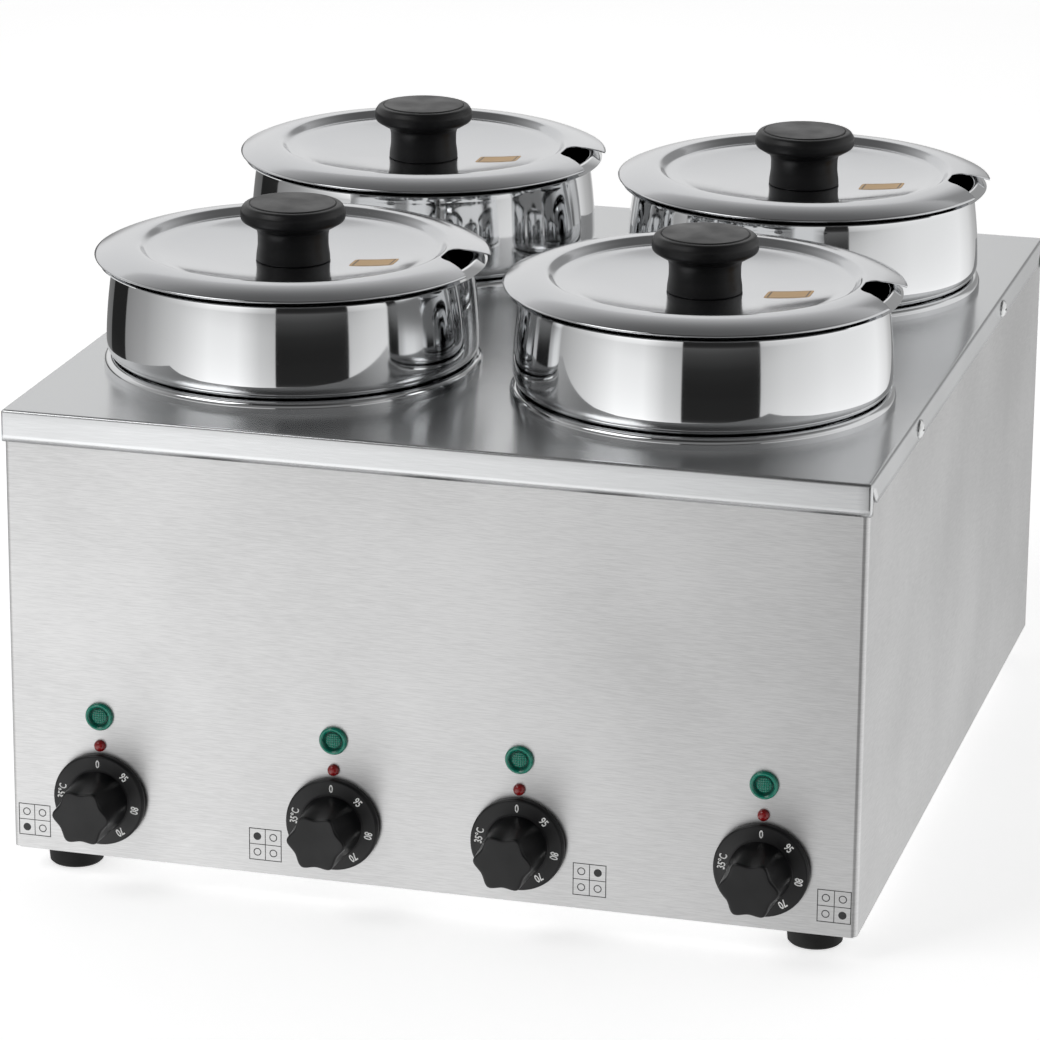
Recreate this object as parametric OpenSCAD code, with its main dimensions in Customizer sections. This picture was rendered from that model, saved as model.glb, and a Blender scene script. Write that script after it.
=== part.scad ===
// Counter-top hot-pot warmer: a sheet steel casing with four heated wells,
// each with a lift-out round pot, a notched lid and its own dial.

/* [Pots and lids] */
// Largest outside radius of a pot, just above its shoulder
pot_r = 97.9; // [85:0.1:120]
// Radius that a pot loses between its shoulder and its rim
pot_taper = 3.5; // [1:0.1:6]
// Thickness of the pot, well and lid sheet
pot_t = 0.8; // [0.6:0.1:1]
// Height of the lid's outer edge above the deck
lid_edge_z = 59.6; // [45:0.1:90]
// Depth of a pot below the deck
pot_depth = 140; // [110:1:145]
// Radius of the shoulder curve of a pot
shoulder_r = 10; // [8:0.5:14]
// Height of a pot's widest ring above the deck
shoulder_z = 14; // [12.5:0.1:20]
// Step from the widest ring in to the neck that sits in the well
neck_step = 6.3; // [5:0.1:8]
// Width of the sloped ledge that carries a pot
ledge_w = 3.6; // [2.6:0.1:6]
// Lid overhang past the pot's widest ring
lid_overhang = 5.5; // [4.5:0.1:12]
// Width of the arched rim of a lid
lid_rim_w = 21.8; // [16:0.1:26]
// Height of the lid's crest above its outer edge
lid_crest_h = 5.2; // [4:0.1:9]
// Width of the step between the crest and the sunken panel
lid_step_w = 5.9; // [4:0.1:9]
// Drop from the crest to the edge of the sunken panel
lid_step_h = 3.6; // [2:0.1:5]
// Further drop from the panel's edge to its centre
lid_dish_h = 5.6; // [2:0.1:8]
// Width of the ladle notch at its closed end
notch_w = 26; // [16:1:34]
// Width of the ladle notch at the lid's edge
notch_mouth_w = 52; // [40:1:60]

/* [Lid knob] */
// Radius of the cap of a lid knob
knob_cap_r = 27.5; // [23:0.1:35]
// Radius of the neck of a lid knob
knob_neck_r = 18.6; // [14:0.1:20]
// Height of a lid knob
knob_h = 30.4; // [26:0.1:45]
// Height from the cap's underside to its top
knob_cap_h = 12.3; // [9:0.1:14]

/* [Layout] */
// Gap between two lids side by side
lid_gap_x = 13.6; // [6:0.1:60]
// Gap between the front and the back lids
lid_gap_y = 34.7; // [6:0.1:80]
// Deck margin from a lid's edge to the side of the casing
side_margin = 11.4; // [8:0.1:60]
// Deck margin from a lid's edge to the front of the casing
front_margin = 25.8; // [22:0.1:90]
// Deck margin from a lid's edge to the back of the casing
rear_margin = 30.9; // [22:0.1:90]

/* [Casing] */
// Height of the casing from its bottom edge to the deck
case_h = 237; // [228:1:320]
// Thickness of the casing sheet
sheet_t = 1; // [0.8:0.1:1.2]
// Outside radius of the casing's front bends
bend_r = 3; // [2:0.1:6]
// Width of the flanges turned inward at the bottom and the back
return_w = 14; // [12:1:20]
// Height of the deck's front and back lips
lip_h = 16.6; // [12:0.1:30]
// Height of the deck's side flanges
flange_h = 13; // [11:0.1:24]
// Length of the slanted ends of the side flanges
flange_slant = 14; // [8:0.5:30]
// Distance of the first side screw from the front
deck_screw_front = 122.6; // [60:0.1:180]
// Distance between the two side screws
deck_screw_pitch = 243.6; // [120:0.1:280]
// Depth of the side screws below the deck
deck_screw_drop = 6.4; // [5.6:0.1:7]
// Shank radius of the casing screws
screw_r = 2.45; // [1.9:0.05:3]
// Head radius of the casing screws
screw_head_r = 5; // [4:0.1:5.4]

/* [Controls] */
// Height of the dials above the casing's bottom edge
dial_z = 32; // [30:0.5:60]
// Distance of the outer dials from the casing's sides
dial_inset = 50; // [36:1:90]
// Distance of the inner dials from the centre line
dial_inner_x = 49; // [36:1:80]
// Radius of a dial's skirt
dial_r = 24.5; // [23:0.1:28]
// Thickness of a dial's skirt
dial_skirt_h = 4.2; // [3.8:0.1:6]
// Height of a dial's grip in front of its skirt
dial_grip_h = 27; // [18:0.5:34]
// Radius of a dial's grip at its foot
dial_grip_r = 16.3; // [13:0.1:18]
// Radius of a dial's grip at its face
dial_face_r = 15.2; // [11:0.1:16]
// Depth of the finger flutes at the face of a dial
dial_flute = 3.4; // [1.5:0.1:4]
// Radius of a dial's spindle
spindle_r = 3; // [2.5:0.1:3.6]
// Gap between a dial's skirt and its red lamp
red_lamp_gap = 1; // [0.2:0.1:6]
// Height of the green lamps above the red ones
green_lamp_step = 16; // [13:0.1:24]
// Radius of the green lamp's bezel
green_lamp_r = 7.4; // [6:0.1:9]
// Radius of the red lamp's dome
red_lamp_r = 3.1; // [2.4:0.1:4]

/* [Feet and inlet] */
// Radius of a rubber foot
foot_r = 15; // [12:0.1:20]
// Height of a rubber foot
foot_h = 12; // [10:0.1:25]
// Distance of a foot's centre from the casing's sides
foot_inset_x = 27; // [24:0.1:60]
// Distance of a foot's centre from the casing's front and back
foot_inset_y = 25; // [24:0.1:60]
// Radius of the hole through the cable gland
gland_bore_r = 4; // [3:0.1:5]
// Distance that the cable gland stands out behind the casing
gland_out = 20; // [14:0.5:30]

/* [Hidden] */
FL = 0;
BL = 1;
BR = 2;
FR = 3;
$fn = 96;

// Clearances between pieces
slip = 0.2;
running = 0.05;
seat_gap = 0.35;
neck_gap = 1;
wall_gap = 2;
over = 1;

// Layout, worked out from the pots
lid_r = pot_r + lid_overhang;
pitch_x = 2 * lid_r + lid_gap_x;
pitch_y = 2 * lid_r + lid_gap_y;
case_w = pitch_x + 2 * (lid_r + side_margin);
case_d = front_margin + 2 * lid_r + pitch_y + rear_margin;
dial_gap = 0.8;
wrap_out = sheet_t + slip;
dial_out = dial_gap + dial_skirt_h + dial_grip_h - wrap_out;
front_y = -(case_d + gland_out + dial_out) / 2 + dial_out;
back_y = front_y + case_d;
row_y = [front_y + front_margin + lid_r, front_y + front_margin + lid_r + pitch_y];
pot_x = [-pitch_x / 2, -pitch_x / 2, pitch_x / 2, pitch_x / 2];
pot_y = [row_y[0], row_y[1], row_y[1], row_y[0]];
dial_outer_x = case_w / 2 - dial_inset;
dial_x = [-dial_outer_x, -dial_inner_x, dial_inner_x, dial_outer_x];

// Heights of the casing
base_t = 1.2;
case_z = foot_h + base_t + slip;
deck_z = case_z + case_h;
wrap_x = case_w / 2 - wrap_out;
panel_y = front_y + wrap_out;
rear_skin_y = back_y - wrap_out;
wrap_back_y = rear_skin_y - sheet_t - slip;
dial_height = case_z + dial_z;
red_lamp_rise = dial_r + red_lamp_gap + red_lamp_r;
green_lamp_rise = red_lamp_rise + green_lamp_step;

// Pot and well sections, with z from the deck
neck_r = pot_r - neck_step;
low_r = neck_r - ledge_w;
ledge_z = -3.4;
floor_fillet = 12;
rim_top_r = pot_r - pot_taper - pot_t;
pot_rim_r = lid_r - 2.4;
well_neck_r = neck_r + neck_gap;
well_r = low_r + wall_gap;
well_floor_z = -(pot_depth + 4);
bead_r = 3.4;
bead_z = 2.6;
stud_r = 3;
stud_l = 14;
heater_t = 5;
heater_r = 60;
heater_nut_h = 5;
deck_hole_r = well_neck_r + pot_t + 0.4;

// Lid section, with z from the lid's outer edge
crest_r = lid_r - lid_rim_w;
panel_r = crest_r - lid_step_w;
panel_z = lid_crest_h - lid_step_h;
centre_z = panel_z - lid_dish_h;
seat_r = knob_neck_r + 3;
lid_screw_r = 2.9;

// Small parts behind the panel
plate_t = 1.5;
plate_screw_x = 14;
plate_screw_r = 2;
body_depth = 24;
capillary_r = 1;
tube_aside = 12;
capillary_z = well_floor_z - pot_t - stud_l - 7.2;
bulb_r = 3;
bulb_l = 60;
bulb_offset = 70;
gland_x = case_w / 2 - 60;
gland_z = case_z + 40;
gland_r = 8;
vent_w = 4;
vent_l = 60;
vent_count = 9;
vent_pitch = 14;

function unit(v) = v / norm(v);
function ahead(p, i) = unit(p[min(i + 1, len(p) - 1)] - p[max(i - 1, 0)]);
function beside(p, i) = let (d = ahead(p, i)) [-d[1], d[0]];
// Closed outline of a sheet of thickness t laid along the points p, on their left side
function sheet(p, t) = concat(p, [for (i = [len(p) - 1:-1:0]) p[i] + t * beside(p, i)]);
// Points along an arc round c, from angle a to angle b
function arc(c, r, a, b, n) = [for (k = [0:n]) let (w = a + (b - a) * k / n) c + r * [cos(w), sin(w)]];

// Height of the lid's upper face at radius r
function dish_z(r) = centre_z + lid_dish_h * pow(max(r - seat_r, 0) / (panel_r - seat_r), 2);
function step_z(r) = panel_z + lid_step_h * (1 - cos(180 * (r - panel_r) / lid_step_w)) / 2;
function rim_z(r) = lid_crest_h * (1 - pow((r - crest_r) / lid_rim_w, 2));
function lid_z(r) = r <= panel_r ? dish_z(r) : r <= crest_r ? step_z(r) : rim_z(r);

pot_line = concat(
    [[0, -pot_depth]],
    arc([low_r - floor_fillet, floor_fillet - pot_depth], floor_fillet, -90, 0, 6),
    [[low_r, ledge_z - ledge_w]],
    [[neck_r, ledge_z]],
    arc([pot_r - shoulder_r, shoulder_z], shoulder_r, -acos(1 - neck_step / shoulder_r), 0, 7),
    [[pot_r - pot_taper * 0.4, shoulder_z + 20]],
    [[pot_r - pot_taper, lid_edge_z - 7]],
    [[pot_r - pot_taper, lid_edge_z + rim_z(rim_top_r) - pot_t - seat_gap - 1.6]],
    [[pot_rim_r, lid_edge_z - 3.4]]);

well_line = concat(
    [[0, well_floor_z]],
    arc([well_r - floor_fillet, floor_fillet + well_floor_z], floor_fillet, -90, 0, 6),
    [[well_r, ledge_z - ledge_w + wall_gap - seat_gap * sqrt(2)]],
    [[well_neck_r, ledge_z + neck_gap - seat_gap * sqrt(2)]],
    arc([well_neck_r + bead_r, bead_z], bead_r, 180, 0, 12),
    [[well_neck_r + 2 * bead_r, 0]]);

lid_line = concat(
    [[0, centre_z]],
    [for (k = [0:6]) let (r = seat_r + (panel_r - seat_r) * k / 6) [r, lid_z(r)]],
    [for (k = [1:5]) let (r = panel_r + lid_step_w * k / 5) [r, lid_z(r)]],
    [for (k = [1:8]) let (r = crest_r + lid_rim_w * k / 8) [r, lid_z(r)]]);

// Rounded outline of the casing wrap, grown inward by d
module wrap_outline(d) {
    r = bend_r - d;
    x = wrap_x - d;
    y = panel_y + d;
    back = wrap_back_y;
    for (s = [-1, 1]) translate([s * (x - r), y + r]) circle(r);
    translate([-(x - r), y]) square([2 * (x - r), back - y]);
    translate([-x, y + r]) square([2 * x, back - y - r]);
}

// Pan head screw along +Z, with the head's underside at z = 0 and the shank below it
module pan_screw(r, head_r, head_h, length) {
    dome_r = (head_r * head_r + head_h * head_h) / (2 * head_h);
    edge = asin(head_r / dome_r);
    rotate_extrude()
        polygon(concat([[0, -length], [r, -length], [r, 0], [head_r, 0]],
            arc([0, head_h - dome_r], dome_r, 90 - edge + 0.5, 90, 6)));
}

// Hexagon nut along +Z with a round hole
module hex_nut(flat_r, hole_r, h) {
    difference() {
        cylinder(r = flat_r, h = h, $fn = 6);
        translate([0, 0, -over]) cylinder(r = hole_r, h = h + 2 * over);
    }
}

// Round bar from point a to point b, which differ along one axis
module bar(a, b, r) {
    d = b - a;
    l = norm(d);
    turn = abs(d[0]) > 0.01 ? [0, d[0] > 0 ? 90 : -90, 0] : abs(d[1]) > 0.01 ? [d[1] > 0 ? -90 : 90, 0, 0] :
        [d[2] > 0 ? 0 : 180, 0, 0];
    translate(a) rotate(turn) cylinder(r = r, h = l, $fn = 24);
    translate(b) sphere(r, $fn = 24);
}

module at_pot(i) {
    translate([pot_x[i], pot_y[i], deck_z]) children();
}

// Turns +Z to the front, with the origin on the front panel's face
module at_panel(i, rise) {
    translate([dial_x[i], panel_y, dial_height + rise]) rotate([90, 0, 0]) children();
}

module side_screw_places() {
    for (s = [-1, 1]) for (k = [0, 1])
        translate([s * case_w / 2, front_y + deck_screw_front + k * deck_screw_pitch, deck_z - deck_screw_drop])
            rotate([0, s * 90, 0]) children();
}

module rear_screw_places() {
    for (s = [-1, 1]) for (z = [case_z + 30, deck_z - lip_h - 20])
        translate([s * (wrap_x - return_w / 2), rear_skin_y, z]) rotate([-90, 0, 0]) children();
}

module foot_places() {
    for (s = [-1, 1]) for (y = [front_y + foot_inset_y, back_y - foot_inset_y])
        translate([s * (case_w / 2 - foot_inset_x), y, 0]) children();
}

// Side flange of the deck, with slanted ends
module side_flange(s) {
    x = s > 0 ? case_w / 2 - sheet_t : -case_w / 2;
    translate([x, 0, deck_z]) rotate([90, 0, 90]) linear_extrude(sheet_t)
        polygon([[front_y + 1, 0], [back_y - 1, 0], [back_y - flange_slant - 6, -flange_h],
            [front_y + flange_slant, -flange_h]]);
}

// Small tab of the front or back lip, turned round the corner
module corner_tab(s, y, w) {
    x = s > 0 ? case_w / 2 - sheet_t : -case_w / 2;
    translate([x, 0, deck_z]) rotate([90, 0, 90]) linear_extrude(sheet_t)
        polygon([[y, -sheet_t], [y, -lip_h], [y + w, -lip_h], [y + w, -lip_h * 0.7]]);
}

module top_deck() {
    color("silver") difference() {
        union() {
            translate([-case_w / 2, front_y, deck_z - sheet_t]) cube([case_w, case_d, sheet_t]);
            translate([-case_w / 2, front_y, deck_z - lip_h]) cube([case_w, sheet_t, lip_h]);
            translate([-case_w / 2, back_y - sheet_t, deck_z - lip_h]) cube([case_w, sheet_t, lip_h]);
            for (s = [-1, 1]) {
                side_flange(s);
                corner_tab(s, front_y, 4);
                corner_tab(s, back_y, -4);
            }
        }
        for (i = [FL:FR]) at_pot(i) translate([0, 0, -sheet_t - over])
            cylinder(r = deck_hole_r, h = sheet_t + 2 * over);
        side_screw_places() translate([0, 0, -5]) cylinder(r = screw_r + slip, h = 10);
    }
}

module casing_wrap() {
    color("lightgray") difference() {
        union() {
            translate([0, 0, case_z]) linear_extrude(case_h - sheet_t - slip) difference() {
                wrap_outline(0);
                wrap_outline(sheet_t);
                translate([-wrap_x + return_w, wrap_back_y - over - sheet_t])
                    square([2 * (wrap_x - return_w), sheet_t + 2 * over]);
            }
            for (s = [-1, 1]) translate([s > 0 ? wrap_x - return_w : -wrap_x, wrap_back_y - sheet_t, case_z])
                cube([return_w, sheet_t, case_h - sheet_t - slip]);
            translate([0, 0, case_z]) linear_extrude(sheet_t) difference() {
                wrap_outline(0);
                translate([return_w - wrap_x, panel_y + 2 * return_w + 8])
                    square([2 * (wrap_x - return_w), case_d - 4 * return_w - 16]);
            }
        }
        side_screw_places() translate([0, 0, -5]) cylinder(r = screw_r + slip, h = 10);
        rear_screw_places() translate([0, 0, -8]) cylinder(r = screw_r + slip, h = 10);
        foot_places() cylinder(r = screw_r + slip, h = case_z + 5);
        for (i = [FL:FR]) {
            at_panel(i, 0) translate([0, 0, -5]) cylinder(r = spindle_r + 2, h = 10);
            at_panel(i, 0) for (s = [-1, 1]) translate([s * plate_screw_x, 0, -5])
                cylinder(r = plate_screw_r + slip, h = 10);
            at_panel(i, green_lamp_rise) translate([0, 0, -5]) cylinder(r = green_lamp_r - 2, h = 10);
            at_panel(i, red_lamp_rise) translate([0, 0, -5]) cylinder(r = red_lamp_r - 0.4, h = 10);
        }
    }
}

module rear_panel() {
    color("lightgray") difference() {
        translate([-wrap_x, rear_skin_y - sheet_t, case_z])
            cube([2 * wrap_x, sheet_t, case_h - sheet_t - slip]);
        rear_screw_places() translate([0, 0, -8]) cylinder(r = screw_r + slip, h = 10);
        translate([gland_x, rear_skin_y - 5, gland_z]) rotate([-90, 0, 0]) cylinder(r = gland_r + slip, h = 10);
    }
}

module base_plate() {
    edge = 2.5;
    color("darkgray") difference() {
        translate([edge - wrap_x, panel_y + edge, foot_h])
            cube([2 * (wrap_x - edge), wrap_back_y - panel_y - 2 * edge, base_t]);
        foot_places() cylinder(r = screw_r + slip, h = case_z + 5);
        for (row = [0, 1]) for (s = [-1, 1]) for (k = [0:vent_count - 1])
            translate([s * pitch_x / 2 + (k - (vent_count - 1) / 2) * vent_pitch - vent_w / 2,
                row_y[row] - vent_l / 2, foot_h - over]) cube([vent_w, vent_l, base_t + 2 * over]);
    }
}

// Rubber foot with a sunk seat for its screw
module foot(s, y) {
    sink = foot_h - 5;
    color("#1c1c1c") translate([s * (case_w / 2 - foot_inset_x), y, 0]) rotate_extrude()
        polygon([[screw_head_r + 0.6, 0], [foot_r - 2, 0], [foot_r - 1, 1], [foot_r, foot_h],
            [screw_r + slip, foot_h], [screw_r + slip, sink], [screw_head_r + 0.6, sink]]);
}

module foot_screws() {
    color("gray") foot_places() translate([0, 0, foot_h - 5]) mirror([0, 0, 1])
        pan_screw(screw_r, screw_head_r, 3, 5 + base_t + slip + sheet_t + 8);
}

module foot_nuts() {
    color("gray") foot_places() translate([0, 0, case_z + sheet_t]) hex_nut(screw_r * 1.9, screw_r + running, 4);
}

module casing_screws() {
    color("silver") {
        side_screw_places() pan_screw(screw_r, screw_head_r, 2.6, 9);
        rear_screw_places() pan_screw(screw_r, screw_head_r, 2.6, 9);
    }
}

module cable_gland() {
    out = gland_out + wrap_out;
    color("#202022") translate([gland_x, rear_skin_y, gland_z]) rotate([-90, 0, 0]) rotate_extrude()
        polygon([[gland_bore_r, -14], [gland_r, -14], [gland_r, 0], [gland_r + 4, 0], [gland_r + 4, 6],
            [gland_r + 2, 7], [gland_r + 2, out - 5], [gland_r, out - 1], [gland_r - 1.5, out],
            [gland_bore_r, out]]);
}

module gland_nut() {
    color("#202022") translate([gland_x, rear_skin_y - sheet_t - 5, gland_z]) rotate([-90, 0, 0])
        hex_nut(gland_r + 4.5, gland_r + running, 5);
}

// Three-way terminal block standing on the base plate
module terminal_block() {
    way = 12;
    color("ivory") translate([gland_x - 70, back_y - 60, foot_h + base_t]) difference() {
        cube([3 * way, 18, 16]);
        for (k = [0:2]) {
            translate([way * (k + 0.5), 5, 8]) cylinder(r = 2.2, h = 10);
            translate([way * (k + 0.5), 13, 8]) cylinder(r = 2.2, h = 10);
        }
    }
}

module thermostat_screws() {
    color("gray") for (i = [FL:FR]) at_panel(i, 0) for (s = [-1, 1]) translate([s * plate_screw_x, 0, 0])
        pan_screw(plate_screw_r, 3.6, 2, 6);
}

module heater_nuts() {
    color("gray") for (i = [FL:FR]) at_pot(i)
        translate([0, 0, well_floor_z - pot_t - heater_t - heater_nut_h])
            hex_nut(stud_r * 1.9, stud_r + running, heater_nut_h);
}

// Heated well hanging in the deck by its beaded collar, with a stud below it
module well(i) {
    color("gainsboro") at_pot(i) {
        rotate_extrude() polygon(sheet(well_line, -pot_t));
        translate([0, 0, well_floor_z - pot_t - stud_l]) cylinder(r = stud_r, h = stud_l + pot_t / 2);
    }
}

module heater(i) {
    color("#8a7a5c") at_pot(i) translate([0, 0, well_floor_z - pot_t - heater_t]) difference() {
        cylinder(r = heater_r, h = heater_t);
        translate([0, 0, -over]) cylinder(r = stud_r + slip, h = heater_t + 2 * over);
    }
}

module pot(i) {
    color("gainsboro") at_pot(i) rotate_extrude() polygon(sheet(pot_line, pot_t));
}

// Half width of the ladle notch at distance x from the lid's centre
function notch_half(x) = notch_w / 2 + (notch_mouth_w - notch_w) / 2 * pow(max(x - crest_r - 4, 0) /
    (lid_rim_w - 4), 1.6);

module notch() {
    corner = 7;
    x0 = crest_r + 0.6;
    upper = concat(
        arc([x0 + corner, notch_w / 2 - corner], corner, 180, 100, 5),
        [for (k = [0:7]) let (x = x0 + corner + 1 + (lid_rim_w - corner) * k / 7) [x, notch_half(x)]]);
    lower = [for (k = [len(upper) - 1:-1:0]) [upper[k][0], -upper[k][1]]];
    translate([0, 0, -10]) linear_extrude(30) polygon(concat(upper, lower));
}

module lid(i) {
    color("whitesmoke") at_pot(i) translate([0, 0, lid_edge_z]) difference() {
        rotate_extrude() polygon(sheet(lid_line, -pot_t));
        translate([0, 0, centre_z - 5]) cylinder(r = lid_screw_r + slip, h = 10);
        notch();
    }
}

// Turned knob: waisted neck, rounded cap and a slightly raised disc on top
module lid_knob(i) {
    under = knob_h - knob_cap_h;
    cap_edge = knob_h - 4.7;
    color("#1d1d20") at_pot(i) translate([0, 0, lid_edge_z + centre_z]) difference() {
        rotate_extrude() polygon(concat(
            [[0, 0], [knob_neck_r + 0.8, 0], [knob_neck_r + 0.8, 1.5], [knob_neck_r, 6], [knob_neck_r, under - 3],
                [knob_neck_r + 1, under]],
            arc([knob_cap_r - 4.2, cap_edge - 0.6], 4.2, -60, 78, 8),
            [[knob_cap_r - 4.6, knob_h - 0.7], [knob_cap_r - 5, knob_h - 1.1], [knob_cap_r - 5.4, knob_h - 0.2],
                [knob_cap_r - 6.2, knob_h], [0, knob_h]]));
        translate([0, 0, -over]) cylinder(r = lid_screw_r + running, h = 17);
    }
}

module lid_screw(i) {
    color("gray") at_pot(i) translate([0, 0, lid_edge_z + centre_z - pot_t]) mirror([0, 0, 1])
        pan_screw(lid_screw_r, 6, 3.4, 15);
}

// Shaft section with one flat side
module d_section(r) {
    difference() {
        circle(r);
        translate([-r, r * 0.6]) square([2 * r, r]);
    }
}

module spindle(i) {
    tip = dial_gap + dial_skirt_h + 14;
    mouth = plate_t + sheet_t;
    color("gray") at_panel(i, 0) {
        translate([0, 0, -mouth - 12]) cylinder(r = spindle_r, h = mouth + 12 + dial_gap);
        translate([0, 0, dial_gap]) linear_extrude(tip - dial_gap) d_section(spindle_r);
    }
}

// Dial with a thin hollow skirt and a tapered grip with six finger flutes
module dial(i) {
    web = 1.4;
    skirt_face = dial_gap + dial_skirt_h;
    color("#1d1d20") at_panel(i, 0) difference() {
        union() {
            rotate_extrude() polygon([[0, skirt_face - web], [dial_r - 2.6, skirt_face - web],
                [dial_r - 2.6, dial_gap], [dial_r, dial_gap], [dial_r, skirt_face - 1],
                [dial_r - 1, skirt_face], [0, skirt_face]]);
            dial_grip(skirt_face - web, skirt_face, skirt_face + dial_grip_h);
        }
        linear_extrude(skirt_face + 15) d_section(spindle_r + running);
    }
}

// Grip from height z0, fluted between heights z1 and z2, with the hub of the spindle behind it
module dial_grip(z0, z1, z2) {
    flutes = 6;
    flute_r = 13;
    lean = atan((dial_flute + dial_grip_r - dial_face_r) / dial_grip_h);
    difference() {
        rotate_extrude() polygon([[0, dial_gap], [spindle_r + 2.5, dial_gap], [spindle_r + 2.5, z0],
            [dial_grip_r, z0], [dial_grip_r, z1], [dial_face_r, z2 - 1], [dial_face_r - 1, z2], [0, z2]]);
        intersection() {
            for (k = [0:flutes - 1]) rotate([0, 0, (k + 0.5) * 360 / flutes])
                translate([dial_grip_r + flute_r, 0, z1]) rotate([0, -lean, 0]) translate([0, 0, -flute_r])
                    cylinder(r = flute_r, h = dial_grip_h + 2 * flute_r);
            translate([0, 0, z1]) cylinder(r = 2 * dial_r, h = dial_grip_h + over);
        }
    }
}

// Capillary thermostat: plate, switch body, terminals, tube and the bulb under its well
module thermostat(i) {
    side = sign(dial_x[i] - pot_x[i]);
    tube_x = dial_x[i] - side * tube_aside;
    end_x = pot_x[i] + side * bulb_l / 2;
    far_x = pot_x[i] - side * bulb_l / 2;
    run_y = pot_y[i] - bulb_offset;
    rear = panel_y + sheet_t + plate_t;
    top = dial_height + 12;
    tube_y = rear + 12;
    run_z = deck_z + capillary_z;
    bulb_z = deck_z + well_floor_z - pot_t - bulb_r;
    color("#b9b9ae") difference() {
        union() {
            at_panel(i, 0) translate([-19, -10, -sheet_t - plate_t]) cube([38, 20, plate_t]);
            at_panel(i, 0) translate([-17, -15, -sheet_t - plate_t - body_depth]) cube([34, 30, body_depth]);
            for (s = [-1, 1]) at_panel(i, 0) translate([s * 10 - 3, -3, -sheet_t - plate_t - body_depth - 8])
                cube([6, 0.8, 9]);
            bar([tube_x, tube_y, top], [tube_x, tube_y, run_z], capillary_r);
            bar([tube_x, tube_y, run_z], [tube_x, run_y, run_z], capillary_r);
            bar([tube_x, run_y, run_z], [end_x, run_y, run_z], capillary_r);
            bar([end_x, run_y, run_z], [end_x, run_y, bulb_z], capillary_r);
            bar([end_x, run_y, bulb_z], [far_x, run_y, bulb_z], bulb_r);
        }
        at_panel(i, 0) translate([0, 0, -sheet_t - plate_t - 16]) cylinder(r = spindle_r + running, h = 30);
        at_panel(i, 0) for (s = [-1, 1]) translate([s * plate_screw_x, 0, -10])
            cylinder(r = plate_screw_r + running, h = 20);
    }
}

// Green signal lamp: bezel ring, sunk lens and a body through the panel
module green_lamp(i) {
    lens_r = green_lamp_r - 2.4;
    color("#0b6b4a") at_panel(i, green_lamp_rise) rotate_extrude()
        polygon([[0, -22], [green_lamp_r - 2.2, -22], [green_lamp_r - 2.2, 0], [green_lamp_r, 0],
            [green_lamp_r, 1.2], [green_lamp_r - 0.9, 2.6], [lens_r + 0.5, 2.6], [lens_r, 1.6], [0, 2.4]]);
}

module red_lamp(i) {
    color("#6b0f14") at_panel(i, red_lamp_rise) rotate_extrude()
        polygon(concat([[0, -14], [red_lamp_r - 0.6, -14], [red_lamp_r - 0.6, 0], [red_lamp_r, 0], [red_lamp_r, 0.6]],
            arc([0, 0.6], red_lamp_r * 0.9, 10, 90, 5)));
}

top_deck();
casing_wrap();
rear_panel();
base_plate();
foot(-1, front_y + foot_inset_y);  // foot_fl
foot(1, front_y + foot_inset_y);  // foot_fr
foot(-1, back_y - foot_inset_y);  // foot_bl
foot(1, back_y - foot_inset_y);  // foot_br
foot_screws();
foot_nuts();
casing_screws();
cable_gland();
gland_nut();
terminal_block();
thermostat_screws();
heater_nuts();
well(FL);  // well_fl
well(BL);  // well_bl
well(BR);  // well_br
well(FR);  // well_fr
heater(FL);  // heater_fl
heater(BL);  // heater_bl
heater(BR);  // heater_br
heater(FR);  // heater_fr
pot(FL);  // pot_fl
pot(BL);  // pot_bl
pot(BR);  // pot_br
pot(FR);  // pot_fr
lid(FL);  // lid_fl
lid(BL);  // lid_bl
lid(BR);  // lid_br
lid(FR);  // lid_fr
lid_knob(FL);  // lid_knob_fl
lid_knob(BL);  // lid_knob_bl
lid_knob(BR);  // lid_knob_br
lid_knob(FR);  // lid_knob_fr
lid_screw(FL);  // lid_screw_fl
lid_screw(BL);  // lid_screw_bl
lid_screw(BR);  // lid_screw_br
lid_screw(FR);  // lid_screw_fr
thermostat(FL);  // thermostat_fl
thermostat(BL);  // thermostat_bl
thermostat(BR);  // thermostat_br
thermostat(FR);  // thermostat_fr
spindle(FL);  // spindle_fl
spindle(BL);  // spindle_bl
spindle(BR);  // spindle_br
spindle(FR);  // spindle_fr
dial(FL);  // dial_fl
dial(BL);  // dial_bl
dial(BR);  // dial_br
dial(FR);  // dial_fr
green_lamp(FL);  // green_lamp_fl
green_lamp(BL);  // green_lamp_bl
green_lamp(BR);  // green_lamp_br
green_lamp(FR);  // green_lamp_fr
red_lamp(FL);  // red_lamp_fl
red_lamp(BL);  // red_lamp_bl
red_lamp(BR);  // red_lamp_br
red_lamp(FR);  // red_lamp_fr
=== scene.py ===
"""Looks of a counter-top four-pot food warmer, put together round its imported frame."""
from math import acos, cos, pi, radians, sin
import bmesh
import bpy
import numpy as np
from mathutils import Matrix, Vector


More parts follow.
